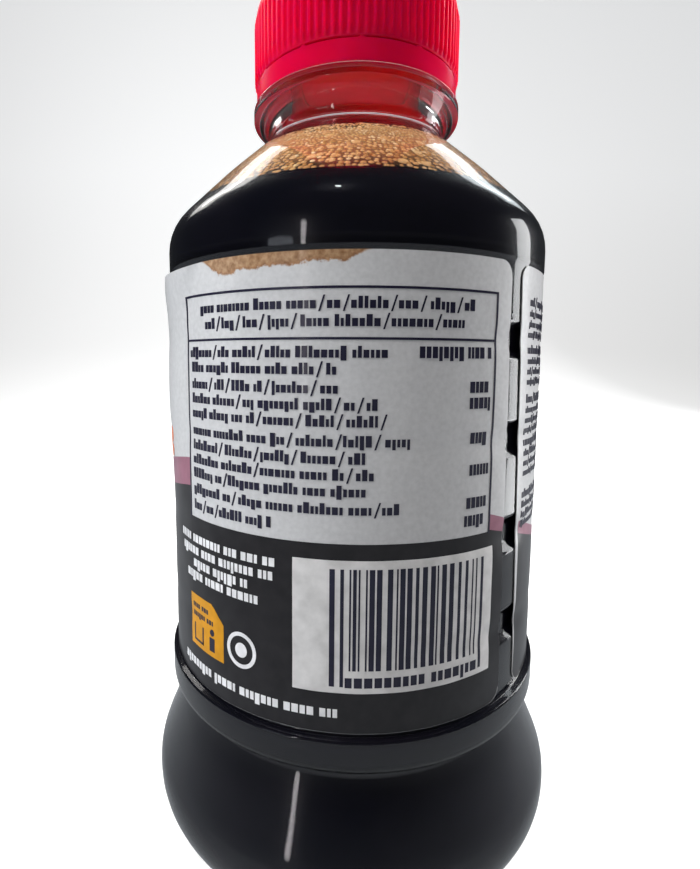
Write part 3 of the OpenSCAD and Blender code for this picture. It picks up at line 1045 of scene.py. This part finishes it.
# %% Cap
RIBS = 90
RIB_DEPTH = 0.4
BELT_MARGIN = 0.6
CAP_EDGE = 1.5
cap_z = low("cap")
cap_top = high("cap")
cap_ceiling = mouth_z + 0.05
cap_line = np.concatenate([
    [[0, cap_ceiling]],
    rounded([[0, cap_ceiling, 0], [cap_in_r, cap_ceiling, 0.5], [cap_in_r, cap_z, 0.25],
             [cap_r, cap_z, 0.25], [cap_r, cap_top, CAP_EDGE], [cap_r - 3.2, cap_top, 0.4],
             [cap_r - 3.7, cap_top - 0.25, 0.4], [0, cap_top - 0.25, 0]])[1:]])


def with_ribs(r, z, a):
    """Pushes the belt out by depth * s(w), where w is the rib wave and s flattens its tops."""
    belt = np.clip((z - cap_z - BELT_MARGIN) / 0.35, 0, 1) * np.clip(
        (cap_top - CAP_EDGE - BELT_MARGIN - z) / 0.5, 0, 1)
    wave = np.clip(0.5 + 0.95 * np.cos(RIBS * a), 0, 1)
    outer = r > cap_r - 0.05
    return r + np.where(outer, RIB_DEPTH * belt * wave, 0), z


cap = add_piece(
    "cap_shell", *lathe(refined(cap_line, 0.9), even_angles(RIBS * 8), shape=with_ribs), "cap", ["cap"])

# %% Tamper band with its bridges
BRIDGES = 12
band_top = high("tamper_band")
TOUCH = 0.05
band_foot = band_z - TOUCH
band_line = refined(rounded([
    [cap_in_r, band_top, 0], [cap_in_r, band_z + 1.2, 0.3], [neck_r + 0.12, band_z + 0.8, 0],
    [neck_r + 0.12, band_foot, 0], [cap_r - 0.5, band_foot, 0], [cap_r, band_z + 0.35, 0.25],
    [cap_r, band_top, 0.15], [cap_in_r + 0.3, band_top, 0]]), 0.7)


def with_bridges(r, z, a):
    """Raises the band's upper edge to the cap at each bridge."""
    at_bridge = np.clip(1.5 - np.abs(np.sin(a * BRIDGES / 2)) * 2 * cap_r / BRIDGES / 0.45, 0, 1)
    return r, z + np.where((z > band_top - 0.2) & (r > cap_r - 0.6), 0.32 * at_bridge, 0)


band = add_piece(
    "tamper_band_ring", *lathe(band_line, even_angles(480), closed=True, shape=with_bridges),
    "cap", ["tamper_band"])

# %% [markdown]
# The cap is red plastic with a soft gloss. It isn't fully opaque: light that falls on the back of it
# glows through, which is why it stays bright where it shows through the neck.

# %% Red plastic
red_plastic, tree, shader = new_material(
    "red_plastic", roughness=0.3, spread=0.12, wave=150, grain=3500, grain_share=0.12, bump=0.12,
    depth=0.12, constants={"Subsurface Weight": 0.8, "Subsurface Radius": (1.0, 0.05, 0.12),
                           "Subsurface Scale": 0.004, "Specular IOR Level": 0.2})
RED_STOPS = [(0.3, (0.62, 0.001, 0.040)), (0.7, (0.70, 0.003, 0.054))]
cloud = noise_value(tree, Scale=90, Detail=3)
tree.links.new(colour_ramp(tree, cloud, RED_STOPS), shader.inputs["Base Color"])
put_on(cap, red_plastic)
put_on(band, red_plastic)

# %% [markdown]
# ## Stage and light
# A pale sheet of paper runs under the bottle and curves up behind it. It glows a little and only fills
# the background: it throws no light on the part and isn't mirrored in it. Five large lamps light the part
# and aren't mirrored either. Eight are there to be mirrored: a strip and a wide patch on each side high
# behind the shoulder, a strip and a patch in front as a window, a tall one at the right for the bare
# plastic between the label's ends, and a small one for the glint on the bubbles.

# %% Floor and backdrop
def paper_sweep():
    """A floor that curves up into a wall: straight, then a quarter circle, then straight up."""
    t = np.linspace(0, math.pi / 2, 24)
    bend = 0.6
    y = np.concatenate([np.linspace(-1.6, 0.7, 12), 0.7 + bend * np.sin(t), [1.3, 1.3]])
    z = np.concatenate([np.zeros(12), bend * (1 - np.cos(t)), [1.4, 2.4]])
    x = np.linspace(-2.2, 2.2, 9)
    points = np.stack(np.broadcast_arrays(x[None, :], y[:, None], z[:, None]), -1).reshape(-1, 3)
    i = np.arange(len(y) * 9).reshape(len(y), 9)
    faces = np.stack([i[:-1, :-1], i[:-1, 1:], i[1:, 1:], i[1:, :-1]], -1).reshape(-1, 4)
    mesh = bpy.data.meshes.new("paper_sweep")
    mesh.from_pydata(points, [], faces)
    mesh.polygons.foreach_set("use_smooth", np.ones(len(faces), bool))
    sweep = add_object("paper_sweep", mesh)
    return sweep


sweep = paper_sweep()
backdrop, tree, shader = new_material(
    "backdrop", roughness=0.8, wave=3, grain=200, bump=0.02,
    constants={"Base Color": (0.8, 0.8, 0.8, 1), "Specular IOR Level": 0.1,
               "Emission Color": (1, 1, 1, 1), "Emission Strength": 0.5})
put_on(sweep, backdrop)
sweep.visible_glossy = False
sweep.visible_transmission = False
sweep.visible_diffuse = False


# %% Lights
def area_light(name, direction, distance, size, power, colour=(1, 1, 1), aim=(0, 0, 0.1), mirrored=True,
               spin=0):
    """A soft light in this direction from the point it aims at. Unless it is mirrored, glossy surfaces and
    bent rays miss it. Spin turns its long side, in degrees."""
    data = bpy.data.lights.new(name, "AREA")
    data.shape = "RECTANGLE"
    data.size, data.size_y = size
    data.energy = power
    data.color = colour
    lamp = add_object(name, data)
    away = Vector(direction).normalized()
    lamp.location = Vector(aim) + away * distance
    turn = Matrix.Rotation(math.radians(spin), 3, "Z")
    lamp.rotation_euler = (away.to_track_quat("Z", "Y").to_matrix() @ turn).to_euler()
    lamp.visible_glossy = mirrored
    lamp.visible_transmission = mirrored


area_light("key_left", (-0.97, -0.15, 0.2), 0.9, (0.4, 0.6), 10, (0.95, 0.98, 1.0), mirrored=False)
area_light("fill_front", (0.15, -0.98, 0.0), 0.55, (0.35, 0.25), 0.3, (1.0, 0.98, 0.97), aim=(0, 0, 0.06),
           mirrored=False)
area_light("top_front", (0.0, -0.3, 0.95), 0.9, (0.6, 0.5), 7.5, (1.0, 0.97, 0.93), mirrored=False)
area_light("bubble_glint", (-0.12, -0.3, 0.95), 0.9, (0.04, 0.04), 0.15)
area_light("side_soft", (0.93, 0.37, 0.1), 0.9, (0.4, 0.6), 14.0, mirrored=False)
area_light("side_right", (0.99, 0.14, 0.0), 0.2, (0.05, 0.195), 0.12, (0.98, 0.99, 1.0))
area_light("window_strip", (-0.50, -0.86, 0.10), 1.6, (0.07, 0.7), 1.0, (1.0, 0.93, 0.95))
area_light("window_wide", (-0.68, -0.73, 0.14), 1.6, (0.40, 0.22), 0.4, (0.85, 0.9, 1.0))
for side, x, colour in (("left", -1, (1.0, 0.98, 0.96)), ("right", 1, (0.90, 0.97, 1.0))):
    area_light(f"back_{side}", (0.43 * x, 0.59, 0.66), 0.9, (0.40, 0.03), 0.25, colour, spin=30 * x)
    area_light(f"back_wide_{side}", (0.43 * x, 0.59, 0.66), 0.92, (0.55, 0.2), 0.8, colour, spin=30 * x)
area_light("back_glow", (0.0, 0.75, 0.66), 0.8, (0.9, 0.3), 3.0, mirrored=False)

# %% [markdown]
# The room is dim for light and mirrors, and less dim below the horizon, as over a pale table. The camera
# sees it fully bright, and so do rays that go through clear plastic without being mirrored on the way.

# %% The room around
world = bpy.data.worlds.new("room")
bpy.context.scene.world = world
world.use_nodes = True
tree = world.node_tree
glow = tree.nodes["Background"]
glow.inputs["Color"].default_value = (0.9, 0.95, 1.0, 1)
rays = add_node(tree, "ShaderNodeLightPath")
height = add_node(tree, "ShaderNodeSeparateXYZ")
tree.links.new(add_node(tree, "ShaderNodeTexCoord").outputs["Generated"], height.inputs["Vector"])
dim = add_node(tree, "ShaderNodeMapRange", inputs={
    "From Min": -0.25, "From Max": 0.05, "To Min": 0.42, "To Max": 0.025})
tree.links.new(height.outputs["Z"], dim.inputs["Value"])
unmirrored = math_node(tree, "LESS_THAN", rays.outputs["Glossy Depth"], 0.5)
through = math_node(tree, "MULTIPLY", rays.outputs["Is Transmission Ray"], unmirrored)
strength = math_node(tree, "MAXIMUM", dim.outputs["Result"], rays.outputs["Is Camera Ray"])
strength = math_node(tree, "MAXIMUM", strength, through)
tree.links.new(strength, glow.inputs["Strength"])
bpy.context.scene.view_settings.view_transform = "Standard"
